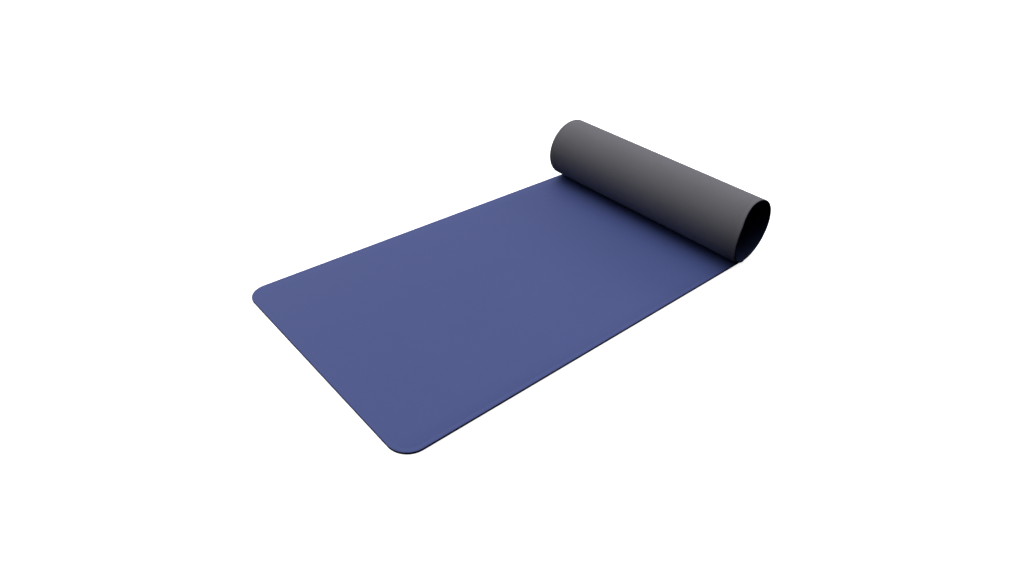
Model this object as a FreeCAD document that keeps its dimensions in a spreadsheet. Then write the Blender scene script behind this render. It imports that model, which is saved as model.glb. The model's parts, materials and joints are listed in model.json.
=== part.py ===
import FreeCAD, Part
import Sketcher
import math
import os
import re

# Infrared sauna blanket: a thin flat heating mat that lies open, with its far end curled up and over
# into one open roll. Millimetres and degrees. +X runs along the mat from the front edge to the roll,
# +Y across it, +Z up. The origin is at the middle of the mat's outline, on the floor.
#
# The mat is one laminate. From the blue upper face down: top cover, felt, heating film with a bus bar
# along each side, reflective foil, foam, back cover. The two covers are welded to each other all round.
# The curled end is cut into strips that are hinged to each other at the back cover's outer face, so the
# roll opens out flat by turning each strip by one strip angle.

SIZES = {
    "mat_width": (800.0, "across the mat, edge to edge"),
    "flat_run": (1312.0, "front edge to the line where the mat starts to curl"),
    "corner_radius": (57.0, "rounded corners of the mat"),
    "roll_radius": (109.6, "outside of the roll, on the back cover's face"),
    "strip_angle": (26.2, "turn taken up by one curl strip, in degrees"),
    "lap_clearance": (1.2, "gap between the roll's tail and the flat part that it lies on"),
    "joint_gap": (0.3, "gap between two curl strips"),
    "cover_skin": (1.0, "sheet that each cover is made of"),
    "felt_thickness": (2.0, "felt under the top cover"),
    "film_thickness": (0.4, "carbon heating film and its bus bars"),
    "foil_thickness": (0.2, "reflective foil under the film"),
    "foam_thickness": (2.4, "foam above the back cover"),
    "weld_rim": (12.0, "welded border where the two covers meet"),
    "bus_width": (12.0, "copper bus bar along each side of the film"),
    "sensor_from_front": (640.0, "front edge to the middle of the temperature sensor"),
    "sensor_length": (14.0, "temperature sensor, along the mat"),
    "sensor_width": (6.0, "temperature sensor, across the mat"),
    "sensor_height": (1.2, "temperature sensor"),
    "cutout_from_front": (760.0, "front edge to the middle of the thermal cut-out"),
    "cutout_length": (20.0, "thermal cut-out, along the mat"),
    "cutout_width": (9.0, "thermal cut-out, across the mat"),
    "cutout_height": (1.8, "thermal cut-out"),
    "inlet_setback": (8.0, "mat's side edge to the mouth of the inlet"),
    "housing_length": (54.0, "inlet housing, across the mat"),
    "housing_width": (36.0, "inlet housing, along the mat"),
    "housing_height": (20.0, "inlet housing, above the blue face"),
    "housing_edge": (3.0, "rounded top edges of the inlet housing"),
    "socket_height": (10.0, "blue face to the socket's axis, where the housing splits"),
    "socket_bore": (5.5, "radius of the hole that the power plug goes into"),
    "socket_wall": (1.5, "wall of the socket sleeve"),
    "socket_length": (22.0, "socket sleeve"),
    "socket_floor": (4.0, "closed inner end of the socket sleeve"),
    "seal_wall": (1.5, "gasket ring round the socket's mouth"),
    "seal_length": (3.0, "gasket ring, along the socket"),
    "room_length": (16.0, "wiring room behind the socket"),
    "room_width": (16.0, "wiring room behind the socket"),
    "room_height": (12.0, "wiring room behind the socket"),
    "contact_radius": (1.0, "contact pins in the socket's floor"),
    "contact_tail": (6.0, "contact pins, behind the socket"),
    "contact_offset": (3.0, "socket's axis to a contact pin"),
    "ribbon_thickness": (0.4, "flat leads in the felt, down to the bus bars"),
    "ribbon_angle": (2.0, "width of a flat lead, in degrees round the roll"),
    "screw_inset": (4.0, "housing's side to the axis of a screw"),
    "screw_end_inset": (6.0, "housing's end to the axis of a screw"),
    "screw_shank": (1.1, "radius of a housing screw's shank"),
    "screw_head": (2.2, "radius of a housing screw's head"),
    "screw_head_height": (1.4, "head of a housing screw, sunk into the cap"),
    "screw_length": (15.0, "housing screw, head and shank"),
}

FIRST_TURN_STRIPS = 8       # strips at the roll's full radius
TAIL_STRIPS = 6             # strips at the smaller radius that carries the tail inside
STRIPS = FIRST_TURN_STRIPS + TAIL_STRIPS
INLET_STRIP = 12            # strip that carries the power inlet
OVERRUN = 5.0               # how far a cutting tool runs past the face it goes through

# Heights above the back cover's outer face, in the order of the layers.
BACK_SKIN = "cover_skin"
FOAM_TOP = "(cover_skin + foam_thickness)"
FOIL_TOP = "(cover_skin + foam_thickness + foil_thickness)"
FILM_TOP = "(cover_skin + foam_thickness + foil_thickness + film_thickness)"
FELT_TOP = "(cover_skin + foam_thickness + foil_thickness + film_thickness + felt_thickness)"
MAT_TOP = "(2 * cover_skin + foam_thickness + foil_thickness + film_thickness + felt_thickness)"
SEAM = f"({MAT_TOP} / 2)"

# The roll. Its tail turns about a second axis, so that it passes inside the first turn and lies on the
# flat part, clear of it by the lap clearance.
FIRST_TURN = f"({FIRST_TURN_STRIPS + 0.5} * strip_angle)"
TAIL_STEP = f"(({MAT_TOP} + lap_clearance) / (1 - cos({FIRST_TURN})))"
CURL_LINE = "((flat_run - roll_radius) / 2)"
TAIL_RADIUS = f"(roll_radius - {TAIL_STEP})"
FIRST_AXIS = (CURL_LINE, "roll_radius")
TAIL_AXIS = (
    f"({CURL_LINE} + {TAIL_STEP} * sin({FIRST_TURN}))",
    f"(roll_radius - {TAIL_STEP} * cos({FIRST_TURN}))",
)
HALF_GAP = "(joint_gap / roll_radius * 90 / pi)"

FRONT_EDGE = "(-(flat_run + roll_radius) / 2)"
HALF_WIDTH = "(mat_width / 2)"
CORE_SIDE = "(mat_width / 2 - weld_rim)"
FILM_SIDE = "(mat_width / 2 - weld_rim - bus_width)"
CORE_CORNER = "(corner_radius - weld_rim)"
FILM_CORNER = "(corner_radius - weld_rim - bus_width)"

doc = FreeCAD.newDocument("sauna_blanket")
sheet = doc.addObject("Spreadsheet::Sheet", "Sizes")
for row, (alias, (number, note)) in enumerate(SIZES.items(), start=1):
    sheet.set(f"A{row}", alias)
    sheet.set(f"B{row}", str(number))
    sheet.set(f"C{row}", note)
    sheet.setAlias(f"B{row}", alias)
doc.recompute()

nodes = []


def sized(text):
    """Expression text in which every size is read from the sheet."""
    return re.sub(r"[a-z_]+", lambda word: f"Sizes.{word[0]}" if word[0] in SIZES else word[0], text)


def bind(thing, **properties):
    """Tie properties to expressions; a dot in a property's path is written as two underscores."""
    for path, text in properties.items():
        thing.setExpression(path.replace("__", "."), sized(text))


def move(thing, along="0", across="0", up="0"):
    """Tie the place of an object to expressions."""
    bind(thing, Placement__Base__x=along, Placement__Base__y=across, Placement__Base__z=up)


def turn_to(thing, angle):
    """Turn an object about +Y so that its own +X points outwards at this angle round the roll.

    The angle starts at the roll's lowest line and grows on the way up the mat's curl.
    """
    thing.Placement = FreeCAD.Placement(
        FreeCAD.Vector(), FreeCAD.Rotation(FreeCAD.Vector(0, 1, 0), 45)
    )
    bind(thing, Placement__Rotation__Angle=f"90 - {angle}")
    return thing


def node(thing):
    """Make an object a sub-part of the blanket; its label is the name that its file takes."""
    nodes.append(thing)
    return thing


def plane_of(body, role):
    """One of a body's own origin planes."""
    return next(item for item in body.Origin.OriginFeatures if item.Role == role)


def outline(body, role, corners, lift="0", shift="0"):
    """Closed outline of straight edges on one of a body's planes.

    Each corner is a pair of expressions, measured along the plane's two axes from its origin, which is
    moved along the plane's second axis by shift and along its normal by lift.
    """
    sketch = body.newObject("Sketcher::SketchObject", "Outline")
    sketch.AttachmentSupport = [(plane_of(body, role), "")]
    sketch.MapMode = "FlatFace"
    bind(sketch, AttachmentOffset__Base__y=shift, AttachmentOffset__Base__z=lift)
    count = len(corners)
    spots = [
        FreeCAD.Vector(math.cos(math.tau * n / count), math.sin(math.tau * n / count), 0)
        for n in range(count)
    ]
    for n in range(count):
        sketch.addGeometry(Part.LineSegment(spots[n], spots[(n + 1) % count]), False)
    for n in range(count):
        sketch.addConstraint(Sketcher.Constraint("Coincident", n, 2, (n + 1) % count, 1))
    for n, (first, second) in enumerate(corners):
        for kind, text, start in (("DistanceX", first, spots[n].x), ("DistanceY", second, spots[n].y)):
            place = sketch.addConstraint(Sketcher.Constraint(kind, n, 1, start))
            sketch.setExpression(f"Constraints[{place}]", sized(text))
    return sketch


def rectangle(low, high):
    """Corners of a rectangle from its lowest and highest corner."""
    return [low, (high[0], low[1]), high, (low[0], high[1])]


def extrude(body, kind, sketch, length):
    """Pad or Pocket of a sketch; a Pocket goes down from its sketch."""
    feature = body.newObject(f"PartDesign::{kind}", kind)
    feature.Profile = sketch
    bind(feature, Length=length)
    doc.recompute()
    return feature


def revolve(body, sketch, axis, angle):
    """Revolution of a sketch about one of its axes, the way that the mat curls."""
    feature = body.newObject("PartDesign::Revolution", "Curl")
    feature.Profile = sketch
    feature.ReferenceAxis = (sketch, [axis])
    feature.Reversed = True
    bind(feature, Angle=angle)
    doc.recompute()
    return feature


def round_upright_edges(body, near, radius):
    """Fillet of the upright edges that stand nearest to the front of the mat."""
    base = body.Tip
    upright = []
    for number, edge in enumerate(base.Shape.Edges, start=1):
        box = edge.BoundBox
        if box.ZLength > max(box.XLength, box.YLength) and abs(box.XMin - near) < 0.01:
            upright.append(f"Edge{number}")
    fillet = body.newObject("PartDesign::Fillet", "Corners")
    fillet.Base = (base, upright)
    bind(fillet, Radius=radius)
    doc.recompute()


def flat_layer(label, low, high, front, side_low, side_high, corner=None):
    """One layer of the flat part, with the start of the curl, between two heights."""
    body = doc.addObject("PartDesign::Body", label)
    plan = outline(body, "XY_Plane", rectangle((front, side_low), ("flat_run", side_high)), lift=low)
    extrude(body, "Pad", plan, f"{high} - {low}")
    if corner:
        round_upright_edges(body, body.Shape.BoundBox.XMin, corner)
    end = rectangle((side_low, f"{low} - roll_radius"), (side_high, f"{high} - roll_radius"))
    section = outline(body, "YZ_Plane", end, lift="flat_run", shift="roll_radius")
    revolve(body, section, "H_Axis", f"strip_angle / 2 - {HALF_GAP}")
    move(body, along=FRONT_EDGE)
    return body


def cover_section(face, floor, to_second):
    """Corners of a cover's cross-section: a channel that is open towards the other cover.

    The face is the cover's outer face and the floor its inner one, as heights above the back cover's
    outer face. to_second turns such a height into the sketch's second value, and the first value runs
    across the mat.
    """
    run = [
        (f"-{HALF_WIDTH}", face),
        (HALF_WIDTH, face),
        (HALF_WIDTH, SEAM),
        (CORE_SIDE, SEAM),
        (CORE_SIDE, floor),
        (f"-{CORE_SIDE}", floor),
        (f"-{CORE_SIDE}", SEAM),
        (f"-{HALF_WIDTH}", SEAM),
    ]
    return [(side, to_second(height)) for side, height in run]


def sorted_heights(height, seam):
    """A cover's height and the seam, lowest first: the top cover lies above the seam."""
    return (seam, height) if height in (MAT_TOP, FELT_TOP) else (height, seam)


def flat_cover(label, face, floor):
    """One cover of the flat part: a sheet with a raised welding rim on its front and its sides."""
    low, high = sorted_heights(face, SEAM)
    blank = flat_layer(f"{label}_blank", low, high, "0", f"-{HALF_WIDTH}", HALF_WIDTH, "corner_radius")
    low, high = sorted_heights(floor, SEAM)
    room = flat_layer(f"{label}_room", low, high, "weld_rim", f"-{CORE_SIDE}", CORE_SIDE, CORE_CORNER)
    return boolean("Cut", label, blank, room)


def foam_recess(body, middle, length, width, depth):
    """Recess in the foam's upper face for a small part that lies under the foil."""
    before = body.Shape.Volume
    extrude(body, "Pocket", outline(body, "XY_Plane", middle_plan(middle, length, width), lift=FOAM_TOP),
            depth)
    if body.Shape.Volume >= before:
        raise RuntimeError("a foam recess was not cut")


def middle_plan(middle, length, width):
    """Corners of a rectangle on the mat's middle line, at a distance from its front edge."""
    return rectangle(
        (f"{middle} - {length} / 2", f"-{width} / 2"), (f"{middle} + {length} / 2", f"{width} / 2")
    )


def foam_insert(label, middle, length, width, height):
    """Small flat part that fills its recess in the foam."""
    body = doc.addObject("PartDesign::Body", label)
    plan = middle_plan(middle, length, width)
    extrude(body, "Pad", outline(body, "XY_Plane", plan, lift=f"{FOAM_TOP} - {height}"), height)
    move(body, along=FRONT_EDGE)
    return body


def strip_start(strip):
    """Angle round the roll at which a curl strip starts, past half of the joint's gap."""
    return f"({strip - 0.5} * strip_angle + {HALF_GAP})"


def strip_radius(strip):
    """Radius of the back cover's outer face on a curl strip."""
    return "roll_radius" if strip <= FIRST_TURN_STRIPS else TAIL_RADIUS


def ring(name, corners, start, angle):
    """Part of a ring round the roll's axis, from corners given as (radius, place across the mat)."""
    body = doc.addObject("PartDesign::Body", name)
    revolve(body, outline(body, "XY_Plane", corners), "V_Axis", angle)
    turn_to(body, start)
    doc.recompute()
    return body


def strip_ring(name, strip, corners):
    """Part of a ring that is as long as one curl strip, from a cross-section."""
    return ring(name, corners, strip_start(strip), f"strip_angle - 2 * {HALF_GAP}")


def strip_layer(name, strip, low, high, side_low, side_high):
    """One layer of a curl strip, between two heights above the back cover's outer face."""
    radius = strip_radius(strip)
    corners = rectangle((f"{radius} - {high}", side_low), (f"{radius} - {low}", side_high))
    return strip_ring(name, strip, corners)


def boolean(kind, name, base, tool):
    """Part::Cut or Part::Common of two objects."""
    result = doc.addObject(f"Part::{kind}", name)
    result.Base = base
    result.Tool = tool
    doc.recompute()
    return result


def fuse(name, members):
    """Several solids joined into one."""
    result = doc.addObject("Part::MultiFuse", name)
    result.Shapes = members
    doc.recompute()
    return result


def group(name, members):
    """Several separate solids as one object."""
    result = doc.addObject("Part::Compound", name)
    result.Links = members
    doc.recompute()
    return result


def to_roll(thing, strip):
    """Put an object made round the roll's axis in its place."""
    along, up = FIRST_AXIS if strip <= FIRST_TURN_STRIPS else TAIL_AXIS
    move(thing, along=along, up=up)
    return thing


def strip_cover(name, strip, face, floor):
    """One cover of a curl strip, as a channel with a welding rim on both sides."""
    radius = strip_radius(strip)
    section = cover_section(face, floor, lambda height: f"{radius} - {height}")
    corners = [(second, first) for first, second in section]
    return strip_ring(name, strip, corners)


def tail_cover(name, strip, face, floor, trim, room_trim):
    """One cover of a strip at the tail, where the outline is rounded and the rim runs across too."""
    blank = strip_layer(
        f"{name}_blank", strip, *sorted_heights(face, SEAM), f"-{HALF_WIDTH}", HALF_WIDTH
    )
    room = strip_layer(f"{name}_room", strip, *sorted_heights(floor, SEAM), f"-{CORE_SIDE}", CORE_SIDE)
    sheet_part = boolean("Common", f"{name}_trimmed", blank, trim)
    room_part = boolean("Common", f"{name}_room_trimmed", room, room_trim)
    return boolean("Cut", name, sheet_part, room_part)


def strip_core(strip):
    """Layers of one curl strip between its covers, each a separate solid."""
    layers = {
        "felt": (FILM_TOP, FELT_TOP, f"-{CORE_SIDE}", CORE_SIDE),
        "film": (FOIL_TOP, FILM_TOP, f"-{FILM_SIDE}", FILM_SIDE),
        "bus_near": (FOIL_TOP, FILM_TOP, f"-{CORE_SIDE}", f"-{FILM_SIDE}"),
        "bus_far": (FOIL_TOP, FILM_TOP, FILM_SIDE, CORE_SIDE),
        "foil": (FOAM_TOP, FOIL_TOP, f"-{CORE_SIDE}", CORE_SIDE),
        "foam": (BACK_SKIN, FOAM_TOP, f"-{CORE_SIDE}", CORE_SIDE),
    }
    return {name: strip_layer(f"{name}_{strip:02d}", strip, *span) for name, span in layers.items()}


def tail_trim(name, inset):
    """Block with the tail's two rounded corners, which trims the last strips; inset from the edge."""
    body = doc.addObject("PartDesign::Body", name)
    side = f"({HALF_WIDTH} - {inset})"
    plan = rectangle((f"-{side}", f"-{TAIL_RADIUS}"), (side, f"-{inset}"))
    pad = extrude(body, "Pad", outline(body, "YZ_Plane", plan, lift=f"{TAIL_RADIUS} / 2"), TAIL_RADIUS)
    ends = []
    for number, edge in enumerate(pad.Shape.Edges, start=1):
        box = edge.BoundBox
        if box.XLength > max(box.YLength, box.ZLength) and box.ZMin > pad.Shape.BoundBox.ZMax - 0.01:
            ends.append(f"Edge{number}")
    fillet = body.newObject("PartDesign::Fillet", "Corners")
    fillet.Base = (pad, ends)
    bind(fillet, Radius=f"corner_radius - {inset}")
    turn_to(body, f"({STRIPS + 0.5} * strip_angle - {HALF_GAP})")
    doc.recompute()
    return body


# The inlet's own frame has its origin on the roll's axis, +X outwards through the middle of its strip
# and +Y along the socket, towards its mouth.
FACE_RADIUS = f"({TAIL_RADIUS} - {MAT_TOP})"
SOCKET_X = f"({FACE_RADIUS} - socket_height)"
HOUSING_TOP = f"({FACE_RADIUS} - housing_height)"
MOUTH = f"({HALF_WIDTH} - inlet_setback)"
SOCKET_END = f"({MOUTH} - socket_length)"
SLEEVE_RADIUS = "(socket_bore + socket_wall)"
LEAD_PLACE = f"({SOCKET_END} - contact_tail - contact_radius)"
FILM_RADIUS = f"({TAIL_RADIUS} - {FILM_TOP})"


def axial_cylinder(name, radius, low, high, up="0"):
    """Cylinder along +Y between two places, level with the socket's axis and up to one side of it."""
    rod = doc.addObject("Part::Cylinder", name)
    bind(rod, Radius=radius, Height=f"{high} - ({low})")
    rod.Placement.Rotation = FreeCAD.Rotation(FreeCAD.Vector(1, 0, 0), -90)
    move(rod, along=SOCKET_X, across=low, up=up)
    return rod


def radial_cylinder(name, radius, low, high, across, up):
    """Cylinder that points outwards from the roll's axis, between two distances from it."""
    rod = doc.addObject("Part::Cylinder", name)
    bind(rod, Radius=radius, Height=f"{high} - ({low})")
    rod.Placement.Rotation = FreeCAD.Rotation(FreeCAD.Vector(0, 1, 0), 90)
    move(rod, along=low, across=across, up=up)
    return rod


def block(name, along, across, up):
    """Box between pairs of expressions on its three axes."""
    box = doc.addObject("Part::Box", name)
    bind(box, Length=f"{along[1]} - ({along[0]})", Width=f"{across[1]} - ({across[0]})")
    bind(box, Height=f"{up[1]} - ({up[0]})")
    move(box, along=along[0], across=across[0], up=up[0])
    return box


def screw_places():
    """Places of the four housing screws across the mat and along it."""
    side = "(housing_width / 2 - screw_inset)"
    for across in (f"({MOUTH} - screw_end_inset)", f"({MOUTH} - housing_length + screw_end_inset)"):
        for up in (f"-{side}", side):
            yield across, up


def screw(number, across, up):
    """One housing screw: a flat head sunk into the cap, and a shank down into the base."""
    head_end = f"{HOUSING_TOP} + screw_head_height"
    head = radial_cylinder(f"head_{number}", "screw_head", HOUSING_TOP, head_end, across, up)
    shank_end = f"{HOUSING_TOP} + screw_length"
    shank = radial_cylinder(f"shank_{number}", "screw_shank", HOUSING_TOP, shank_end, across, up)
    return fuse(f"screw_{number}", [head, shank])


def lead(side, sign):
    """One lead: a pin from its contact down through the felt, and a flat run to its bus bar."""
    up = f"{sign} * contact_offset"
    reach = f"{FILM_RADIUS} - ribbon_thickness / 2"
    pin = radial_cylinder(f"lead_pin_{side}", "contact_radius", SOCKET_X, reach, LEAD_PLACE, up)
    bus_middle = f"({sign} * ({CORE_SIDE} - bus_width / 2))"
    pin_side = f"({LEAD_PLACE} - {sign} * 2 * contact_radius)"
    low, high = (pin_side, bus_middle) if sign > 0 else (bus_middle, pin_side)
    corners = rectangle((f"{FILM_RADIUS} - ribbon_thickness", low), (FILM_RADIUS, high))
    middle = f"({sign} * contact_offset / {FILM_RADIUS} * 180 / pi)"
    run = ring(f"lead_run_{side}", corners, f"(90 + {middle} - ribbon_angle / 2)", "ribbon_angle")
    return fuse(f"lead_{side}", [pin, run])


def power_inlet():
    """The inlet's pieces by their labels, in the inlet's own frame."""
    width = ("-housing_width / 2", "housing_width / 2")
    length = (f"{MOUTH} - housing_length", MOUTH)
    screws = group("screws", [screw(n, *place) for n, place in enumerate(screw_places(), start=1)])
    leads = group("leads", [lead("far", 1), lead("near", -1)])
    sleeve = axial_cylinder("sleeve", SLEEVE_RADIUS, SOCKET_END, MOUTH)
    bore_end = f"{SOCKET_END} + socket_floor"
    bore = axial_cylinder("bore", "socket_bore", bore_end, f"{MOUTH} + {OVERRUN}")
    pins = [
        axial_cylinder(
            f"pin_{side}", "contact_radius", f"{SOCKET_END} - contact_tail", bore_end,
            up=f"{sign} * contact_offset",
        )
        for side, sign in (("far", 1), ("near", -1))
    ]
    contacts = group("pins", pins)
    socket_blank = boolean("Cut", "socket_blank", sleeve, bore)
    socket = boolean("Cut", "socket", socket_blank, contacts)
    seal_end = f"{MOUTH} - seal_length"
    seal_blank = axial_cylinder("seal_blank", f"{SLEEVE_RADIUS} + seal_wall", seal_end, MOUTH)
    seal = boolean("Cut", "seal", seal_blank, sleeve)
    room = block(
        "wiring_room",
        (f"{SOCKET_X} - room_height / 2", f"{SOCKET_X} + room_height / 2"),
        (f"{SOCKET_END} - room_length", SOCKET_END),
        ("-room_width / 2", "room_width / 2"),
    )
    hollow = fuse("housing_hollow", [sleeve, seal_blank, room, screws, leads])
    lower = block("base_blank", (SOCKET_X, f"{FACE_RADIUS} + {OVERRUN}"), length, width)
    curve = doc.addObject("Part::Cylinder", "blue_face")
    bind(curve, Radius=FACE_RADIUS, Height="mat_width")
    curve.Placement.Rotation = FreeCAD.Rotation(FreeCAD.Vector(1, 0, 0), -90)
    base = boolean("Cut", "base", boolean("Common", "base_curved", lower, curve), hollow)
    upper = block("cap_blank", (HOUSING_TOP, SOCKET_X), length, width)
    rounded = doc.addObject("Part::Fillet", "cap_rounded")
    rounded.Base = upper
    doc.recompute()
    top = upper.Shape.BoundBox.XMin
    rounded.Edges = [
        (number, sheet.housing_edge, sheet.housing_edge)
        for number, edge in enumerate(upper.Shape.Edges, start=1)
        if edge.BoundBox.XMax < top + 0.01
    ]
    cap = boolean("Cut", "cap", rounded, hollow)
    return {
        "inlet_housing_base": base,
        "inlet_housing_cap": cap,
        "inlet_gasket": seal,
        "inlet_socket": socket,
        "inlet_contacts": contacts,
        "housing_screws": screws,
        "inlet_leads": leads,
    }


# Flat part.
node(flat_cover("top_cover", MAT_TOP, FELT_TOP))
full_side = (f"-{CORE_SIDE}", CORE_SIDE)
node(flat_layer("felt_pad", FILM_TOP, FELT_TOP, "weld_rim", *full_side, CORE_CORNER))
node(flat_layer("heating_film", FOIL_TOP, FILM_TOP, "weld_rim", f"-{FILM_SIDE}", FILM_SIDE, FILM_CORNER))
near_bar = flat_layer("bus_near", FOIL_TOP, FILM_TOP, "corner_radius", f"-{CORE_SIDE}", f"-{FILM_SIDE}")
far_bar = flat_layer("bus_far", FOIL_TOP, FILM_TOP, "corner_radius", FILM_SIDE, CORE_SIDE)
node(group("bus_bars", [near_bar, far_bar]))
node(flat_layer("reflective_foil", FOAM_TOP, FOIL_TOP, "weld_rim", *full_side, CORE_CORNER))
foam = node(flat_layer("foam_pad", BACK_SKIN, FOAM_TOP, "weld_rim", *full_side, CORE_CORNER))
node(flat_cover("back_cover", "0", BACK_SKIN))
for label, part in (("temperature_sensor", "sensor"), ("thermal_cutout", "cutout")):
    size = (f"{part}_from_front", f"{part}_length", f"{part}_width", f"{part}_height")
    foam_recess(foam, *size)
    node(foam_insert(label, *size))

# Power inlet, turned to the middle of its strip. Its leads go through that strip's cover and felt.
inlet_turn = f"({INLET_STRIP} * strip_angle)"
inlet = power_inlet()
for label, piece in inlet.items():
    node(to_roll(turn_to(group(label, [piece]), inlet_turn), INLET_STRIP))
lead_cutter = turn_to(group("lead_cutter", [inlet["inlet_leads"]]), inlet_turn)
doc.recompute()

# Curled end.
trim = tail_trim("tail_trim", "0")
room_trim = tail_trim("tail_room_trim", "weld_rim")
corner_turn = math.degrees(sheet.corner_radius / sheet.roll_radius)
first_trimmed = STRIPS + 1 - math.ceil(corner_turn * 1.2 / sheet.strip_angle)
for strip in range(1, STRIPS + 1):
    covers = {"top_cover": (MAT_TOP, FELT_TOP), "back_cover": ("0", BACK_SKIN)}
    for kind, (face, floor) in covers.items():
        name = f"{kind}_{strip:02d}"
        drilled = strip == INLET_STRIP and kind == "top_cover"
        first_name = f"{name}_plain" if drilled else name
        if strip >= first_trimmed:
            cover = tail_cover(first_name, strip, face, floor, trim, room_trim)
        else:
            cover = strip_cover(first_name, strip, face, floor)
        if drilled:
            cover = boolean("Cut", name, cover, lead_cutter)
        node(to_roll(cover, strip))
    layers = strip_core(strip)
    if strip == INLET_STRIP:
        layers["felt"] = boolean("Cut", "felt_slotted", layers["felt"], lead_cutter)
    members = list(layers.values())
    if strip >= first_trimmed:
        members = [boolean("Common", f"{layer.Name}_trimmed", layer, room_trim) for layer in members]
    node(to_roll(group(f"heater_core_{strip:02d}", members), strip))

doc.recompute()
for thing in doc.Objects:
    if "Invalid" in thing.State or "Error" in thing.State:
        raise RuntimeError(f"{thing.Name} ({thing.Label}) failed: {thing.State}")
for piece in nodes:
    if piece.Shape.isNull() or not piece.Shape.isValid() or not piece.Shape.Solids:
        raise RuntimeError(f"{piece.Label} has no valid solid")
os.makedirs("parts", exist_ok=True)
for piece in nodes:
    piece.Shape.exportStep(f"parts/{piece.Label}.step")
print(f"{len(nodes)} nodes written")
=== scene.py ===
import json
import logging
import math
from collections.abc import Callable, Sequence
from dataclasses import dataclass, field
from enum import Enum

import bmesh
import bpy
import numpy as np
from mathutils import Matrix, Vector


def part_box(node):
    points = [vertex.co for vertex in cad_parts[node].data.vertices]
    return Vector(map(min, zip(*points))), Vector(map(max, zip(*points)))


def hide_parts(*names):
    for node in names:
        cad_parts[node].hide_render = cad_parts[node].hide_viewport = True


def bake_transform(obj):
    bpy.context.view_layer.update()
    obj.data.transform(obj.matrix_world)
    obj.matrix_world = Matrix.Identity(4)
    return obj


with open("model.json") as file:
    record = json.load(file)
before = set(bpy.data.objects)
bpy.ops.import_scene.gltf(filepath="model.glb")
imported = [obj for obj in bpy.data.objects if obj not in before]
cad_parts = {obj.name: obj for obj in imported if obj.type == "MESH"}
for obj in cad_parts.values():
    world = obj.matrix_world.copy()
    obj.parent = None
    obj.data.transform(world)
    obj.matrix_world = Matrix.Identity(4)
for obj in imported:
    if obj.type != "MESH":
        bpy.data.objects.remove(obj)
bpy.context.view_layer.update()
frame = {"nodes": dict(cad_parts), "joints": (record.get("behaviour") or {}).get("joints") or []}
log = logging.getLogger("sauna_blanket")

CORNER_SEGMENTS = 14
SMOOTH_ANGLE = math.radians(32)
LEVEL = 1e-6           # how near to a height a point has to be to count as on it
FLAT_LINES = 34        # mesh lines across the flat part
END_LINE = 0.0004      # from each end of a stretch to its first mesh line
LAID = "laid"          # point attribute: place on the mat as it was cut, before it was rolled up

Colour = tuple[float, float, float, float]
Span = tuple[float, float]


def from_srgb(red: float, green: float, blue: float, share: float = 1.0) -> Colour:
    """Turn a display colour into a linear one.

    Args:
        red, green, blue: Display values from 0 to 255.
        share: What the linear colour is multiplied by.

    Returns:
        Linear red, green, blue and alpha.
    """
    def linear(value: float) -> float:
        """Linear value of one channel."""
        value /= 255
        return share * (value / 12.92 if value <= 0.04045 else ((value + 0.055) / 1.055) ** 2.4)

    return linear(red), linear(green), linear(blue), 1.0


# ------------------------------------------------------------------------------------------ shaders


class Signal:
    """A socket that gives a number. Arithmetic on it adds Math nodes to its material."""

    def __init__(self, recipe: "Recipe", socket: bpy.types.NodeSocket) -> None:
        """Wrap one output socket of a recipe's node."""
        self.recipe = recipe
        self.socket = socket

    def _maths(self, operation: str, first: "Signal | float", second: "Signal | float") -> "Signal":
        """Add one Math node and return what it gives."""
        made = self.recipe.node("ShaderNodeMath", {"operation": operation}, {0: first, 1: second})
        return Signal(self.recipe, made.outputs[0])

    def __add__(self, other: "Signal | float") -> "Signal":
        """Sum."""
        return self._maths("ADD", self, other)

    __radd__ = __add__

    def __sub__(self, other: "Signal | float") -> "Signal":
        """Difference."""
        return self._maths("SUBTRACT", self, other)

    def __rsub__(self, other: "Signal | float") -> "Signal":
        """Difference with the socket second."""
        return self._maths("SUBTRACT", other, self)

    def __mul__(self, other: "Signal | float") -> "Signal":
        """Product."""
        return self._maths("MULTIPLY", self, other)

    __rmul__ = __mul__

    def __gt__(self, other: "Signal | float") -> "Signal":
        """1 where the socket is greater, and 0 elsewhere."""
        return self._maths("GREATER_THAN", self, other)

    def sine(self) -> "Signal":
        """Sine of the socket, in radians."""
        return self._maths("SINE", self, 0.0)

    def at_least(self, floor: float) -> "Signal":
        """The socket, or the floor where it is lower."""
        return self._maths("MAXIMUM", self, floor)

    def power(self, exponent: float) -> "Signal":
        """The socket to a power."""
        return self._maths("POWER", self, exponent)

    def size(self) -> "Signal":
        """The socket without its sign."""
        return self._maths("ABSOLUTE", self, 0.0)

    def remainder(self, step: float) -> "Signal":
        """What is left of the socket after whole steps, for a pattern that repeats."""
        return self._maths("FLOORED_MODULO", self, step)


class Place(Enum):
    """Where a pattern reads its place from."""

    ON_THE_MAT = "laid"
    IN_THE_ROOM = "object"


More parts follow.
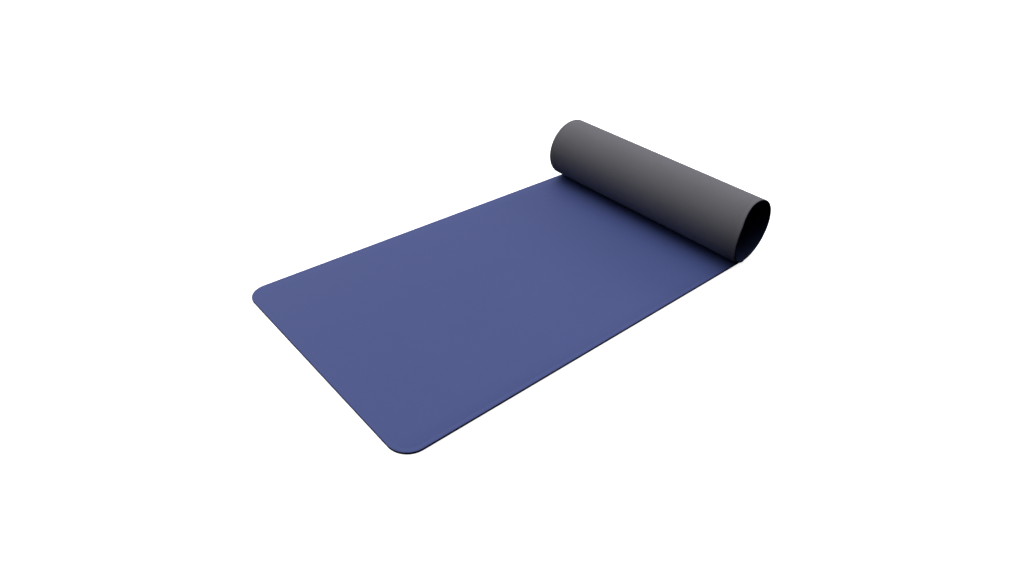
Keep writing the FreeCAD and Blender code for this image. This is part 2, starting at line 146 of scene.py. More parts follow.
class Recipe:
    """The node tree of one material, or of the sky."""

    def __init__(self, owner: bpy.types.Material | bpy.types.World) -> None:
        """Start with no nodes."""
        owner.use_nodes = True
        self.tree = owner.node_tree
        self.tree.nodes.clear()

    def node(self, kind: str, settings: dict, inputs: dict) -> bpy.types.Node:
        """Add one node.

        Args:
            kind: The node's type.
            settings: Its own properties, set first.
            inputs: Values or links by socket name or number.

        Returns:
            The node.
        """
        made = self.tree.nodes.new(kind)
        for name, value in settings.items():
            setattr(made, name, value)
        for key, value in inputs.items():
            value = value.socket if isinstance(value, Signal) else value
            if isinstance(value, bpy.types.NodeSocket):
                self.tree.links.new(value, made.inputs[key])
            else:
                made.inputs[key].default_value = value
        return made

    def place(self, source: Place) -> bpy.types.NodeSocket:
        """The socket that says where on the piece a point is, in metres."""
        if source is Place.ON_THE_MAT:
            return self.node("ShaderNodeAttribute", {"attribute_name": LAID}, {}).outputs["Vector"]
        return self.node("ShaderNodeTexCoord", {}, {}).outputs["Object"]

    def axes(self, source: Place) -> tuple[Signal, Signal, Signal]:
        """The three numbers of a place: along the mat, across it, and up through it."""
        split = self.node("ShaderNodeSeparateXYZ", {}, {"Vector": self.place(source)})
        return tuple(Signal(self, split.outputs[axis]) for axis in "XYZ")

    def noise(self, source: Place, size: float, detail: float = 2.0) -> Signal:
        """Smooth noise from 0 to 1 whose features are about as large as size, in metres."""
        inputs = {"Vector": self.place(source), "Scale": 1 / size, "Detail": detail, "Roughness": 0.55}
        return Signal(self, self.node("ShaderNodeTexNoise", {}, inputs).outputs[0])

    def cells(self, source: Place, size: float) -> Signal:
        """Distance to the middle of the nearest cell, for pebbled grain and foam."""
        inputs = {"Vector": self.place(source), "Scale": 1 / size}
        return Signal(self, self.node("ShaderNodeTexVoronoi", {}, inputs).outputs["Distance"])

    def blend(self, share: Signal, low: Colour, high: Colour) -> bpy.types.NodeSocket:
        """Colour between two colours."""
        inputs = {0: share, 6: low, 7: high}
        return self.node("ShaderNodeMix", {"data_type": "RGBA"}, inputs).outputs[2]


@dataclass(frozen=True)
class Pattern:
    """What varies over a surface: its relief and its tint, both from about 0 to 1."""

    height: Signal
    tint: Signal


@dataclass(frozen=True)
class Finish:
    """What a piece is made of, with the values that are the same all over it."""

    name: str
    slot: str
    colour: Colour
    low_colour: Colour
    roughness: float = 0.6
    roughness_spread: float = 0.1
    metallic: float = 0.0
    specular: float = 0.5
    relief: float = 0.0001      # metres from the lowest to the highest point of the grain
    grain: float = 0.001        # metres from one grain to the next
    source: Place = Place.ON_THE_MAT

    def pattern(self, recipe: Recipe) -> Pattern:
        """Plain moulded grain, under a slow change of tint."""
        fine = recipe.noise(self.source, self.grain)
        slow = recipe.noise(self.source, 40 * self.grain, 1.0)
        return Pattern(fine, 0.5 * fine + 0.5 * slow)

    def material(self) -> bpy.types.Material:
        """Make the material once, and give the same one after that."""
        known = bpy.data.materials.get(self.name)
        if known:
            return known
        made = bpy.data.materials.new(self.name)
        recipe = Recipe(made)
        pattern = self.pattern(recipe)
        bump = {"Strength": 1.0, "Distance": self.relief, "Height": pattern.height}
        inputs = {
            "Base Color": recipe.blend(pattern.tint, self.low_colour, self.colour),
            "Roughness": self.roughness + self.roughness_spread * pattern.tint,
            "Metallic": self.metallic,
            "Specular IOR Level": self.specular,
            "Normal": recipe.node("ShaderNodeBump", {}, bump).outputs["Normal"],
        }
        shader = recipe.node("ShaderNodeBsdfPrincipled", {}, inputs)
        recipe.node("ShaderNodeOutputMaterial", {}, {"Surface": shader.outputs["BSDF"]})
        return made


@dataclass(frozen=True)
class CoatedCloth(Finish):
    """Smooth coated cloth with a fine pebbled grain."""

    def pattern(self, recipe: Recipe) -> Pattern:
        """Pebbles a little over half a millimetre across, on a faint unevenness of the coat."""
        pebbles = 1 - recipe.cells(self.source, self.grain)
        coat = recipe.noise(self.source, 20 * self.grain)
        cast = recipe.noise(self.source, 0.22, 1.0)
        return Pattern(0.8 * pebbles + 0.2 * coat, 0.3 * pebbles + 0.3 * coat + 0.4 * cast)


@dataclass(frozen=True)
class WovenGrip(Finish):
    """Rubber-coated plain weave that keeps the mat from slipping."""

    def pattern(self, recipe: Recipe) -> Pattern:
        """Threads that pass over and under each other, filled in by the rubber."""
        along, across, _ = recipe.axes(self.source)
        turn = math.pi / self.grain
        warp, weft = (along * turn).sine(), (across * turn).sine()
        over = warp * weft > 0.0
        threads = over * warp.size() + (1 - over) * weft.size()
        dust = recipe.noise(self.source, 0.004)
        cast = recipe.noise(self.source, 0.18, 1.0)
        return Pattern(0.8 * threads + 0.2 * dust, 0.3 * threads + 0.3 * dust + 0.4 * cast)


@dataclass(frozen=True)
class PressedFelt(Finish):
    """Needled felt."""

    def pattern(self, recipe: Recipe) -> Pattern:
        """Tangled fibres."""
        fibres = recipe.noise(self.source, self.grain, 6.0)
        return Pattern(fibres, fibres)


@dataclass(frozen=True)
class PrintedFilm(Finish):
    """Clear film with printed carbon bars across it."""

    bar: float = 0.011
    pitch: float = 0.016

    def pattern(self, recipe: Recipe) -> Pattern:
        """Bars across the mat, and the bare film between them."""
        along = recipe.axes(self.source)[0]
        bare = along.remainder(self.pitch) > self.bar
        return Pattern(1 - bare, bare)


@dataclass(frozen=True)
class OpenFoam(Finish):
    """Foam with small cells."""

    def pattern(self, recipe: Recipe) -> Pattern:
        """Round cells."""
        cells = recipe.cells(self.source, self.grain)
        return Pattern(cells, cells)


@dataclass(frozen=True)
class RolledMetal(Finish):
    """Metal with fine marks that run along the mat."""

    def pattern(self, recipe: Recipe) -> Pattern:
        """Long marks, by a noise that is squeezed across the mat."""
        along, across, up = recipe.axes(self.source)
        join = {"X": along * 0.05, "Y": across, "Z": up}
        squeezed = recipe.node("ShaderNodeCombineXYZ", {}, join).outputs[0]
        inputs = {"Vector": squeezed, "Scale": 1 / self.grain, "Detail": 2.0}
        marks = Signal(recipe, recipe.node("ShaderNodeTexNoise", {}, inputs).outputs[0])
        return Pattern(marks, marks)


LIGHT = 1.3      # how bright a white sheet on the floor would be

BLUE_COVER = CoatedCloth(
    "blue_coated_cloth", "blue_cover",
    from_srgb(85, 99, 163, 1 / LIGHT), from_srgb(79, 93, 154, 1 / LIGHT),
    roughness=0.62, roughness_spread=0.1, specular=0.25, relief=0.00009, grain=0.0009,
)
GREY_BACK = WovenGrip(
    "grey_grip_back", "grey_back",
    from_srgb(134, 133, 139, 1 / LIGHT), from_srgb(121, 120, 126, 1 / LIGHT),
    roughness=0.75, roughness_spread=0.1, specular=0.2, relief=0.00012, grain=0.0011,
)
FELT = PressedFelt(
    "cream_felt", "felt", from_srgb(214, 206, 190), from_srgb(168, 158, 140),
    roughness=0.9, relief=0.0004, grain=0.002,
)
CARBON_FILM = PrintedFilm(
    "carbon_film", "carbon_film", from_srgb(150, 146, 138), from_srgb(18, 18, 20),
    roughness=0.35, relief=0.00003,
)
COPPER = RolledMetal(
    "copper_bar", "copper", from_srgb(216, 142, 110), from_srgb(184, 108, 78),
    roughness=0.3, metallic=1.0, relief=0.00002,
)
FOIL = RolledMetal(
    "bright_foil", "foil", from_srgb(228, 230, 232), from_srgb(196, 200, 204),
    roughness=0.18, metallic=1.0, relief=0.00004, grain=0.004,
)
FOAM = OpenFoam(
    "grey_foam", "foam", from_srgb(176, 178, 182), from_srgb(120, 122, 128),
    roughness=0.9, relief=0.0003, grain=0.0015,
)
HOUSING = Finish(
    "black_housing", "inlet_housing", from_srgb(34, 34, 37), from_srgb(26, 26, 28),
    roughness=0.5, relief=0.00006, grain=0.0006, source=Place.IN_THE_ROOM,
)
GASKET = Finish(
    "soft_gasket", "gasket", from_srgb(60, 60, 62), from_srgb(48, 48, 50),
    roughness=0.8, relief=0.00004, grain=0.0008, source=Place.IN_THE_ROOM,
)
SLEEVE = Finish(
    "black_sleeve", "socket_sleeve", from_srgb(30, 30, 32), from_srgb(22, 22, 24),
    roughness=0.35, relief=0.00002, grain=0.0006, source=Place.IN_THE_ROOM,
)
PINS = RolledMetal(
    "plated_pins", "contact_metal", from_srgb(222, 190, 120), from_srgb(200, 164, 96),
    roughness=0.25, metallic=1.0, relief=0.00001, grain=0.0005, source=Place.IN_THE_ROOM,
)
SCREWS = RolledMetal(
    "zinc_screws", "screw_steel", from_srgb(190, 194, 198), from_srgb(150, 154, 160),
    roughness=0.3, metallic=1.0, relief=0.00001, grain=0.0005, source=Place.IN_THE_ROOM,
)
SENSOR_CASE = Finish(
    "white_sensor_case", "sensor_case", from_srgb(224, 222, 214), from_srgb(202, 199, 190),
    roughness=0.4, relief=0.00002, grain=0.0008, source=Place.IN_THE_ROOM,
)
CUTOUT_CASE = Finish(
    "black_cutout_case", "cutout_case", from_srgb(44, 44, 46), from_srgb(34, 34, 36),
    roughness=0.45, relief=0.00003, grain=0.0008, source=Place.IN_THE_ROOM,
)
CAD_FINISHES = {
    "temperature_sensor": SENSOR_CASE,
    "thermal_cutout": CUTOUT_CASE,
    "inlet_housing_base": HOUSING,
    "inlet_housing_cap": HOUSING,
    "inlet_gasket": GASKET,
    "inlet_socket": SLEEVE,
    "inlet_contacts": PINS,
    "housing_screws": SCREWS,
    "inlet_leads": COPPER,
}


# ------------------------------------------------------------------------------- the mat's own path


@dataclass(frozen=True)
class Turn:
    """One arc of the roll, by the axis and the radius of the back cover's outer face."""

    x: float
    z: float
    radius: float

    @classmethod
    def through(cls, first: Vector, last: Vector, start: float, end: float) -> "Turn":
        """The arc through two hinges.

        Args:
            first, last: The hinges, which lie on the arc.
            start, end: Their angles round the roll, in radians from its lowest line.

        Returns:
            The arc.
        """
        radius = (last - first).length / (2 * math.sin((end - start) / 2))
        return cls(first.x - radius * math.sin(start), first.z + radius * math.cos(start), radius)


@dataclass(frozen=True)
class RollPath:
    """The way that the back cover's outer face takes: flat at first, and then round the roll."""

    front: float        # where the front edge is
    step: float         # turn of one strip, in radians
    switch: float       # angle at which the tail's smaller turn starts
    end: float          # angle at which the tail ends
    first: Turn
    tail: Turn
    half_width: float = 0.4
    # how far the near edge stands out sideways: degrees round the roll, and metres
    flare: tuple[tuple[float, float], ...] = (
        (180, 0.0), (195, 0.001), (210, 0.005), (225, 0.011), (240, 0.017), (255, 0.0195), (265, 0.020),
        (290, 0.019), (320, 0.014), (340, 0.010),
    )

    @classmethod
    def from_joints(cls, joints: Sequence[dict], front: float, full_strips: int = 8) -> "RollPath":
        """Read the path from the hinges, which lie half a strip, one and a half strips and so on round.

        Args:
            joints: The frame's joints, in order.
            front: Where the front edge is.
            full_strips: How many strips are at the roll's full radius.

        Returns:
            The path.
        """
        step = math.radians(joints[0]["range_deg"][1])
        places = [Vector(joint["pos_m"]) for joint in joints]
        switch, last = (full_strips + 0.5) * step, (len(joints) - 0.5) * step
        first = Turn.through(places[0], places[full_strips], 0.5 * step, switch)
        tail = Turn.through(places[full_strips], places[-1], switch, last)
        return cls(front, step, switch, last + step, first, tail)

    @property
    def flat_run(self) -> float:
        """Length of the flat part."""
        return self.first.x - self.front

    def length_to(self, angle: float) -> float:
        """Length of the mat from its front edge to an angle round the roll."""
        over = max(angle - self.switch, 0.0)
        return self.flat_run + self.first.radius * (angle - over) + self.tail.radius * over

    def lay(self, points: np.ndarray) -> np.ndarray:
        """Roll up points of the mat as it was cut.

        Args:
            points: Rows of length from the front edge, place across, and height above the back's face.

        Returns:
            The same rows in the frame.
        """
        length, across, height = points.T
        past = np.maximum(length - self.flat_run, 0.0)
        before = np.minimum(past, self.first.radius * self.switch)
        on_tail = past > self.first.radius * self.switch
        angle = before / self.first.radius + (past - before) / self.tail.radius
        axis_x = np.where(on_tail, self.tail.x, self.first.x)
        axis_z = np.where(on_tail, self.tail.z, self.first.z)
        radius = np.where(on_tail, self.tail.radius, self.first.radius) - height
        near = np.maximum(-across / self.half_width, 0.0) ** 2
        across = across - near * np.interp(np.degrees(angle), *zip(*self.flare))
        x = np.where(past > 0, axis_x + radius * np.sin(angle), self.front + length)
        z = np.where(past > 0, axis_z - radius * np.cos(angle), height)
        return np.stack([x, across, z], 1)


@dataclass(frozen=True)
class Stretch:
    """One length of the mat that bends over one hinge, from the middle of a strip to the next."""

    number: int
    span: Span              # length from the front edge
    start: Vector           # middle of the laminate at the bend's two ends
    end: Vector
    bodies: tuple[str, str]
    lines: tuple[float, ...]        # where its mesh has an edge across the mat


# ------------------------------------------------------------------------------------ mesh building


class Panel:
    """A flat panel that is shaped in edit mode, before it is laid along the mat's path."""

    def __init__(self, name: str, along: Span, across: Span, height: Span, corner: float = 0.0) -> None:
        """Add a plane, round its corners and give it its thickness.

        Args:
            name: The piece's name.
            along, across, height: Where it starts and ends on each axis.
            corner: Radius of its corners.
        """
        middle = (sum(along) / 2, sum(across) / 2, height[0])
        bpy.ops.object.select_all(action="DESELECT")
        bpy.ops.mesh.primitive_plane_add(size=1, location=middle)
        self.piece = bpy.context.object
        self.piece.name = self.piece.data.name = name
        self.piece.scale = (along[1] - along[0], across[1] - across[0], 1)
        bpy.ops.object.transform_apply(location=True, rotation=True, scale=True)
        self.height = height
        bpy.ops.object.mode_set(mode="EDIT")
        if corner:
            bpy.ops.mesh.select_mode(type="VERT")
            bpy.ops.mesh.select_all(action="SELECT")
            bpy.ops.mesh.bevel(
                offset=corner, offset_type="OFFSET", segments=CORNER_SEGMENTS, affect="VERTICES"
            )
        bpy.ops.mesh.select_mode(type="FACE")
        bpy.ops.mesh.select_all(action="SELECT")
        self.push(height[1] - height[0])
        bpy.ops.mesh.select_all(action="SELECT")
        bpy.ops.mesh.normals_make_consistent(inside=False)

    def pick_faces(self, wanted: Callable[[bmesh.types.BMFace], bool]) -> None:
        """Select the faces that a test holds for, and no others."""
        bpy.ops.mesh.select_mode(type="FACE")
        bpy.ops.mesh.select_all(action="DESELECT")
        shape = bmesh.from_edit_mesh(self.piece.data)
        for face in shape.faces:
            face.select_set(wanted(face))
        bmesh.update_edit_mesh(self.piece.data)

    def pick_level(self, level: float) -> None:
        """Select the level faces at one height."""
        self.pick_faces(
            lambda face: abs(face.calc_center_median().z - level) < LEVEL and abs(face.normal.z) > 0.9
        )

    def pick_outline(self, level: float) -> None:
        """Select the edges at one height where a level face meets an upright one."""
        bpy.ops.mesh.select_mode(type="EDGE")
        bpy.ops.mesh.select_all(action="DESELECT")
        shape = bmesh.from_edit_mesh(self.piece.data)
        for edge in shape.edges:
            at_level = all(abs(corner.co.z - level) < LEVEL for corner in edge.verts)
            slopes = sorted(abs(face.normal.z) for face in edge.link_faces)
            edge.select_set(at_level and len(slopes) == 2 and slopes[0] < 0.1 and slopes[1] > 0.9)
        bmesh.update_edit_mesh(self.piece.data)

    def push(self, distance: float) -> None:
        """Extrude the selected faces up or down."""
        bpy.ops.mesh.extrude_region_move(TRANSFORM_OT_translate={"value": (0, 0, distance)})

    def round_outline(self, level: float, radius: float, segments: int) -> None:
        """Round the panel's edge at one height."""
        self.pick_outline(level)
        bpy.ops.mesh.bevel(offset=radius, offset_type="OFFSET", segments=segments, affect="EDGES")

    def press_groove(self, level: float, inset: float, width: float, depth: float) -> None:
        """Press a narrow groove into a level face, all round and at a distance from its edge."""
        self.pick_level(level)
        bpy.ops.mesh.inset(thickness=inset - width / 2, depth=0)
        bpy.ops.mesh.inset(thickness=width / 2, depth=-depth)
        bpy.ops.mesh.inset(thickness=width / 2, depth=depth)

    def sink(self, level: float, inset: float, distance: float) -> None:
        """Sink the middle of a level face, inside a rim."""
        self.pick_level(level)
        bpy.ops.mesh.inset(thickness=inset, depth=0)
        self.push(distance)

    def cut(self, place: float, axis: int, clear: str = "") -> None:
        """Cut a line across the panel, or cut it off there and close the end.

        Args:
            place: Where the cut is.
            axis: 0 for a cut across the mat, 1 for one along it.
            clear: "before" or "after" to remove what lies on that side.
        """
        point, normal = [0.0, 0.0, 0.0], [0.0, 0.0, 0.0]
        point[axis], normal[axis] = place, 1.0
        bpy.ops.mesh.select_all(action="SELECT")
        bpy.ops.mesh.bisect(
            plane_co=point, plane_no=normal, use_fill=bool(clear),
            clear_inner=clear == "before", clear_outer=clear == "after",
        )

    def recess(self, along: Span, across: Span, depth: float) -> None:
        """Recess a rectangle into the panel's upper face."""
        for axis, span in enumerate((along, across)):
            for place in span:
                self.cut(place, axis)
        self.pick_faces(
            lambda face: abs(face.calc_center_median().z - self.height[1]) < LEVEL
            and along[0] < face.calc_center_median().x < along[1]
            and across[0] < face.calc_center_median().y < across[1]
        )
        self.push(-depth)

    def done(self) -> bpy.types.Object:
        """Leave edit mode."""
        bpy.ops.object.mode_set(mode="OBJECT")
        return self.piece


class Roller:
    """Cuts finished flat panels into stretches and lays each along the mat's path."""

    def __init__(self, path: RollPath, count: int, middle: float, lines: int = 26) -> None:
        """Work out the stretches.

        Args:
            path: The mat's path.
            count: How many stretches there are.
            middle: Height of the laminate's middle.
            lines: Mesh lines across the mat in each strip of the roll.
        """
        self.path = path
        self.total = path.length_to(path.end)
        bodies = ["flat_panel"] + [f"curl_{number:02d}" for number in range(1, count + 1)]
        self.stretches = [
            self._stretch(number, (bodies[number - 1], bodies[number]), count, middle, lines)
            for number in range(1, count + 1)
        ]

    def _stretch(
        self, number: int, bodies: tuple[str, str], count: int, middle: float, lines: int
    ) -> Stretch:
        """The stretch that bends over one hinge."""
        path = self.path
        angles = ((number - 1) * path.step, number * path.step)
        first, last = (path.length_to(angle) for angle in angles)
        span = (0.0 if number == 1 else first, self.total if number == count else last)
        steps = round(lines * ((path.end - angles[0]) / path.step if number == count else 1))
        places = set(np.linspace(first, span[1], steps + 1)[1:-1])
        places |= {place for place in (first + END_LINE, last - END_LINE) if span[0] < place < span[1]}
        if number == 1:
            places |= set(np.linspace(0.0, first, FLAT_LINES)[1:])
        ends = path.lay(np.array([(first, 0, middle), (last, 0, middle)]))
        return Stretch(number, span, Vector(ends[0]), Vector(ends[1]), bodies, tuple(sorted(places)))

    def take(self, blank: bpy.types.Object, stretch: Stretch, name: str) -> bpy.types.Object:
        """Copy one stretch out of a flat panel.

        Args:
            blank: The whole panel, flat.
            stretch: The stretch to copy.
            name: The copy's name.

        Returns:
            The copy, still flat.
        """
        copy = blank.copy()
        copy.data = blank.data.copy()
        copy.name = copy.data.name = name
        bpy.context.scene.collection.objects.link(copy)
        bpy.ops.object.select_all(action="DESELECT")
        copy.select_set(True)
        bpy.context.view_layer.objects.active = copy
        panel = Panel.__new__(Panel)
        panel.piece = copy
        bpy.ops.object.mode_set(mode="EDIT")
        if stretch.span[0] > 0:
            panel.cut(stretch.span[0], 0, "before")
        if stretch.span[1] < self.total:
            panel.cut(stretch.span[1], 0, "after")
        for place in stretch.lines:
            panel.cut(place, 0)
        return panel.done()

    def lay(self, piece: bpy.types.Object, stretch: Stretch) -> None:
        """Roll a flat piece up on its path."""
        mesh = piece.data
        flat = np.zeros(len(mesh.vertices) * 3)
        mesh.vertices.foreach_get("co", flat)
        mesh.attributes.new(LAID, "FLOAT_VECTOR", "POINT").data.foreach_set("vector", flat)
        mesh.vertices.foreach_set("co", self.path.lay(flat.reshape(-1, 3)).ravel())
        mesh.update()
        bpy.ops.object.select_all(action="DESELECT")
        piece.select_set(True)
        bpy.context.view_layer.objects.active = piece
        bpy.ops.object.shade_smooth_by_angle(angle=SMOOTH_ANGLE)
        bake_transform(piece)


# -------------------------------------------------------------------------------------- sub-assemblies


class Cover(Enum):
    """The two covers."""

    BLUE = "blue_cover"
    GREY = "grey_back"


@dataclass
class Laminate:
    """Heights and outlines of the mat's layers, as it was cut. Metres, from the back's outer face."""

    width: float
    corner: float = 0.057
    rim: float = 0.012
    bus_width: float = 0.012
    skin: float = 0.001
    foam: float = 0.0024
    foil: float = 0.0002
    film: float = 0.0004
    felt: float = 0.002

    @property
    def foam_top(self) -> float:
        """Top of the foam."""
        return self.skin + self.foam

    @property
    def foil_top(self) -> float:
        """Top of the reflective foil."""
        return self.foam_top + self.foil

    @property
    def film_top(self) -> float:
        """Top of the heating film."""
        return self.foil_top + self.film

    @property
    def felt_top(self) -> float:
        """Top of the felt."""
        return self.film_top + self.felt

    @property
    def top(self) -> float:
        """The blue face."""
        return self.felt_top + self.skin

    @property
    def seam(self) -> float:
        """Where the two covers are welded to each other."""
        return self.top / 2


@dataclass
class Covers:
    """The blue cover and the grey back, welded to each other round the mat's edge."""

    laminate: Laminate
    roller: Roller
    edge_radius: float = 0.0012
    seam_radius: float = 0.00025
    weld_width: float = 0.0018
    weld_depth: float = 0.00012
    strips_across: int = 16
    made: dict[Cover, list[bpy.types.Object]] = field(default_factory=dict)

    def blank(self, cover: Cover) -> bpy.types.Object:
        """Model one whole cover, flat: a sheet with a welded rim and a room for the layers."""
        mat, half = self.laminate, self.laminate.width / 2
        blue = cover is Cover.BLUE
        outer, floor = (mat.top, mat.felt_top) if blue else (0.0, mat.skin)
        height = (mat.seam, mat.top) if blue else (0.0, mat.seam)
        along = (0.0, self.roller.total)
        panel = Panel(f"{cover.value}_blank", along, (-half, half), height, mat.corner)
        panel.round_outline(outer, self.edge_radius, 4)
        panel.round_outline(mat.seam, self.seam_radius, 1)
        panel.press_groove(outer, mat.rim - self.edge_radius, self.weld_width, self.weld_depth)
        panel.sink(mat.seam, mat.rim - self.seam_radius, floor - mat.seam)
        for place in np.linspace(-half, half, self.strips_across + 1)[1:-1]:
            panel.cut(place, 1)
        return panel.done()

    def build(self) -> None:
        """Model both covers and lay their stretches."""
        for cover, finish, node in (
            (Cover.GREY, GREY_BACK, "back_cover"),
            (Cover.BLUE, BLUE_COVER, "top_cover"),
        ):
            blank = self.blank(cover)
            self.made[cover] = [
                self.stretch(blank, cover, finish, node, stretch) for stretch in self.roller.stretches
            ]
            bpy.data.objects.remove(blank)

    def stretch(
        self, blank: bpy.types.Object, cover: Cover, finish: Finish, node: str, stretch: Stretch
    ) -> bpy.types.Object:
        """Make one stretch of a cover.

        Args:
            blank: The whole cover, flat.
            cover: Which cover it is.
            finish: What it is made of.
            node: Name of the frame's node for the cover's flat part.
            stretch: Where the stretch is.

        Returns:
            The piece.
        """
        piece = self.roller.take(blank, stretch, f"{cover.value}_{stretch.number:02d}")
        piece.data.materials.append(finish.material())
        self.roller.lay(piece, stretch)
        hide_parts(f"{node}_{stretch.number:02d}", *([node] if stretch.number == 1 else []))
        under = [] if cover is Cover.GREY else [self.made[Cover.GREY][stretch.number - 1]]
        length = stretch.span[1] - stretch.span[0]
        log.info("%s: %.0f mm of the mat", piece.name, 1000 * length)
        return piece


@dataclass(frozen=True)
class Layer:
    """One sheet between the covers, as it was cut."""

    name: str
    node: str
    finish: Finish
    height: Span
    sides: tuple[Span, ...]     # across the mat, one for each separate part
    inset: float                # from the mat's front edge and from its tail
    corner: float
    padded: bool = False


@dataclass
class HeaterCore:
    """What lies between the covers: felt, heating film with its bus bars, foil and foam."""

    laminate: Laminate
    roller: Roller
    play: float = 0.00002       # kept clear round each layer

    def layers(self) -> list[Layer]:
        """The layers from the foam up."""
        mat = self.laminate
        side = mat.width / 2 - mat.rim - self.play
        film = side - mat.bus_width
        round_side, round_film = mat.corner - mat.rim, mat.corner - mat.rim - mat.bus_width
        bars = ((-side, -film - self.play), (film + self.play, side))
        return [
            Layer("foam_laid", "foam_pad", FOAM, (mat.skin, mat.foam_top), ((-side, side),),
                  mat.rim + self.play, round_side, padded=True),
            Layer("foil_laid", "reflective_foil", FOIL, (mat.foam_top, mat.foil_top), ((-side, side),),
                  mat.rim + self.play, round_side),
            Layer("film_laid", "heating_film", CARBON_FILM, (mat.foil_top, mat.film_top),
                  ((-film, film),), mat.rim + self.play, round_film),
            Layer("bars_laid", "bus_bars", COPPER, (mat.foil_top, mat.film_top), bars, mat.corner, 0.0),
            Layer("felt_laid", "felt_pad", FELT, (mat.film_top, mat.felt_top), ((-side, side),),
                  mat.rim + self.play, round_side),
        ]

    def blanks(self, layer: Layer) -> list[bpy.types.Object]:
        """Model a layer's parts over the whole mat, flat."""
        low, high = layer.height[0] + self.play, layer.height[1] - self.play
        along = (layer.inset, self.roller.total - layer.inset)
        made = []
        for side in layer.sides:
            panel = Panel(f"{layer.name}_blank", along, side, (low, high), layer.corner)
            if layer.finish is FOAM:
                self.make_room(panel)
            made.append(panel.done())
        return made

    def make_room(self, panel: Panel) -> None:
        """Recess the foam for the small parts that lie in it."""
        front = self.roller.path.front
        for node in ("temperature_sensor", "thermal_cutout"):
            low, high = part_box(node)
            panel.recess(
                (low.x - front - self.play, high.x - front + self.play),
                (low.y - self.play, high.y + self.play),
                panel.height[1] - low.z + self.play,
            )

    def build(self) -> None:
        """Lay the layers: one by one in the first stretch, and as one piece in each of the others."""
        layers = self.layers()
        blanks = {layer.name: self.blanks(layer) for layer in layers}
        for stretch in self.roller.stretches:
            parts = [
                self.part(blank, layer, stretch) for layer in layers for blank in blanks[layer.name]
            ]
            if stretch.number == 1:
                self.finish_first(layers, parts, stretch)
            else:
                self.finish_core(parts, stretch)
        for blank in [blank for some in blanks.values() for blank in some]:
            bpy.data.objects.remove(blank)

    def part(self, blank: bpy.types.Object, layer: Layer, stretch: Stretch) -> bpy.types.Object:
        """Copy one stretch of a layer, with its material."""
        piece = self.roller.take(blank, stretch, f"{layer.name}_{stretch.number:02d}")
        piece.data.materials.append(layer.finish.material())
        return piece

    def join(self, parts: Sequence[bpy.types.Object], name: str) -> bpy.types.Object:
        """Make several parts one piece."""
        bpy.ops.object.select_all(action="DESELECT")
        for part in parts:
            part.select_set(True)
        bpy.context.view_layer.objects.active = parts[0]
        bpy.ops.object.join()
        parts[0].name = parts[0].data.name = name
        return parts[0]

    def finish_first(
        self, layers: Sequence[Layer], parts: Sequence[bpy.types.Object], stretch: Stretch
    ) -> None:
        """Lay the layers of the flat part, each as a piece of its own."""
        left = list(parts)
        for layer in layers:
            mine = [left.pop(0) for _ in layer.sides]
            piece = self.join(mine, layer.name) if len(mine) > 1 else mine[0]
            piece.name = piece.data.name = layer.name
            self.roller.lay(piece, stretch)
            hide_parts(layer.node, *(["heater_core_01"] if layer.padded else []))
            if layer.padded:
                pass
            elif layer.finish is not COPPER:
                size = (layer.sides[0][1] - layer.sides[0][0], stretch.span[1] - layer.inset)
            log.info("%s: laid", piece.name)

    def finish_core(self, parts: Sequence[bpy.types.Object], stretch: Stretch) -> None:
        """Lay all layers of one stretch of the roll as one padded piece."""
        piece = self.join(parts, f"core_{stretch.number:02d}")
        self.roller.lay(piece, stretch)
        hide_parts(f"heater_core_{stretch.number:02d}")
        log.info("%s: laid", piece.name)


@dataclass
class SmallParts:
    """The sensor, the cut-out and the power inlet, which keep the frame's own shapes."""

    finishes: dict[str, Finish]

    def dress(self) -> None:
        """Give each part its material."""
        for name, finish in self.finishes.items():
            node = frame["nodes"][name]
            for place in node.material_slots:
                place.material = finish.material()
            log.info("%s: %s", name, finish.name)


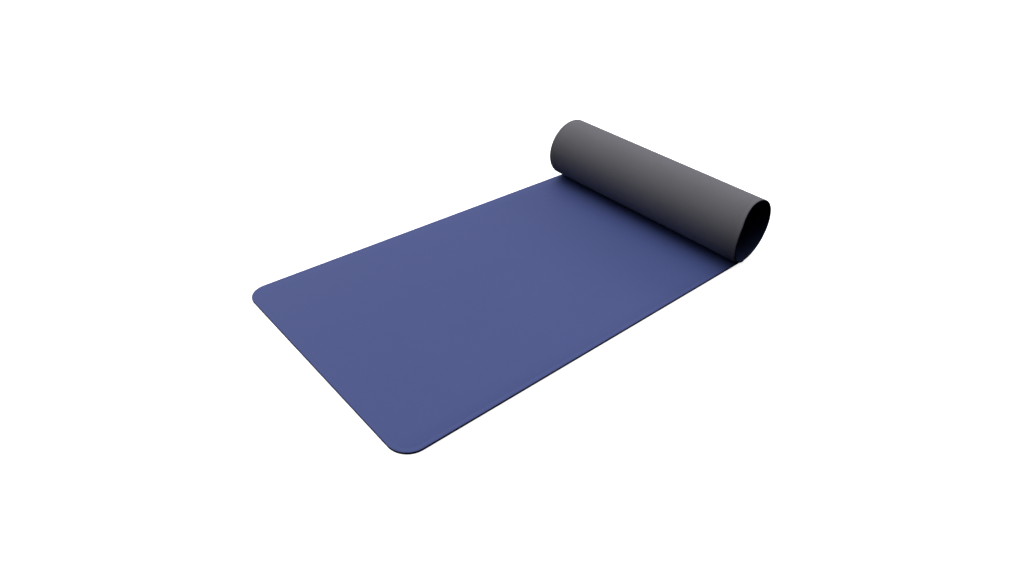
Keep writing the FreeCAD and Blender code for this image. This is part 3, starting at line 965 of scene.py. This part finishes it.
@dataclass
class Studio:
    """White floor, a sky that is brightest overhead, a lamp past the roll, and the camera."""

    camera_place: tuple[float, float, float] = (-1.23088, -1.28592, 1.19184)
    heading: float = 0.8229     # radians from +X towards +Y
    dip: float = 0.6158         # radians below the horizon
    tilt: float = 0.0484        # radians about the line of sight
    lens: float = 24.27
    floor_size: float = 60.0
    floor_drop: float = 0.0004
    floor_glow: float = 0.9
    sky: float = 4.65
    sky_axis: tuple[float, float, float] = (0.04, 0.7, 1.0)
    sky_power: float = 5.0
    lamp_place: tuple[float, float, float] = (3.8, 0.5, 1.9)
    lamp_aim: tuple[float, float, float] = (0.6, -0.3, 0.2)
    lamp_size: float = 1.4
    lamp_power: float = 34.0
    lamp_colour: tuple[float, float, float] = (0.86, 0.86, 1.0)

    def camera(self) -> None:
        """Stand the camera where the maker looks at the mat from."""
        ahead = Vector((
            math.cos(self.dip) * math.cos(self.heading),
            math.cos(self.dip) * math.sin(self.heading),
            -math.sin(self.dip),
        ))
        right = ahead.cross(Vector((0, 0, 1))).normalized()
        up = right.cross(ahead)
        level_right = math.cos(self.tilt) * right + math.sin(self.tilt) * up
        level_up = math.cos(self.tilt) * up - math.sin(self.tilt) * right
        made = bpy.data.objects.new("camera", bpy.data.cameras.new("camera"))
        made.data.lens = self.lens
        made.data.sensor_width = 36.0
        turn = Matrix((level_right, level_up, -ahead)).transposed().to_4x4()
        made.matrix_world = Matrix.Translation(self.camera_place) @ turn
        bpy.context.scene.collection.objects.link(made)
        bpy.context.scene.camera = made

    def floor(self) -> None:
        """A large matte sheet just under the mat."""
        bpy.ops.object.select_all(action="DESELECT")
        bpy.ops.mesh.primitive_plane_add(size=self.floor_size, location=(0, 0, -self.floor_drop))
        floor = bpy.context.object
        floor.name = "floor"
        finish = bpy.data.materials.new("white_floor")
        recipe = Recipe(finish)
        inputs = {
            "Base Color": (0.9, 0.9, 0.9, 1),
            "Roughness": 0.9,
            "Specular IOR Level": 0.0,
            "Emission Color": (1, 1, 1, 1),
            "Emission Strength": self.floor_glow,
        }
        shader = recipe.node("ShaderNodeBsdfPrincipled", {}, inputs)
        recipe.node("ShaderNodeOutputMaterial", {}, {"Surface": shader.outputs["BSDF"]})
        floor.data.materials.append(finish)
        floor.visible_diffuse = False
        floor.visible_glossy = False

    def light(self) -> None:
        """A sky that is brightest overhead and leans to the far side, and a cool lamp past the roll."""
        world = bpy.data.worlds.new("studio")
        bpy.context.scene.world = world
        recipe = Recipe(world)
        ahead = recipe.node("ShaderNodeTexCoord", {}, {}).outputs["Generated"]
        towards = {0: ahead, 1: Vector(self.sky_axis).normalized()}
        lean = recipe.node("ShaderNodeVectorMath", {"operation": "DOT_PRODUCT"}, towards)
        height = Signal(recipe, recipe.node("ShaderNodeSeparateXYZ", {}, {0: ahead}).outputs["Z"])
        share = (height > 0.0) * Signal(recipe, lean.outputs["Value"]).at_least(0.0)
        glow = self.sky * share.power(self.sky_power)
        lit = recipe.node("ShaderNodeBackground", {}, {"Strength": glow})
        seen = recipe.node("ShaderNodeBackground", {}, {"Color": (1, 1, 1, 1)})
        eye = recipe.node("ShaderNodeLightPath", {}, {}).outputs["Is Camera Ray"]
        both = recipe.node("ShaderNodeMixShader", {}, {0: eye, 1: lit.outputs[0], 2: seen.outputs[0]})
        recipe.node("ShaderNodeOutputWorld", {}, {"Surface": both.outputs[0]})
        lamp = bpy.data.lights.new("far_lamp", "AREA")
        lamp.shape = "DISK"
        lamp.size, lamp.energy, lamp.color = self.lamp_size, self.lamp_power, self.lamp_colour
        stand = bpy.data.objects.new("far_lamp", lamp)
        place, aim = Vector(self.lamp_place), Vector(self.lamp_aim)
        turn = (aim - place).to_track_quat("-Z", "Y").to_matrix().to_4x4()
        stand.matrix_world = Matrix.Translation(place) @ turn
        bpy.context.scene.collection.objects.link(stand)

    def build(self) -> None:
        """Set up camera, floor and light."""
        self.camera()
        self.floor()
        self.light()
        bpy.context.scene.view_settings.view_transform = "Standard"


def main() -> None:
    """Build the studio and the blanket."""
    logging.basicConfig(level=logging.INFO, format="%(message)s")
    Studio().build()
    low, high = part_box("back_cover")
    laminate = Laminate(width=high.y - low.y)
    path = RollPath.from_joints(frame["joints"], low.x)
    roller = Roller(path, len(frame["joints"]), laminate.seam)
    Covers(laminate, roller).build()
    HeaterCore(laminate, roller).build()
    SmallParts(CAD_FINISHES).dress()


if __name__ == "__main__":
    main()
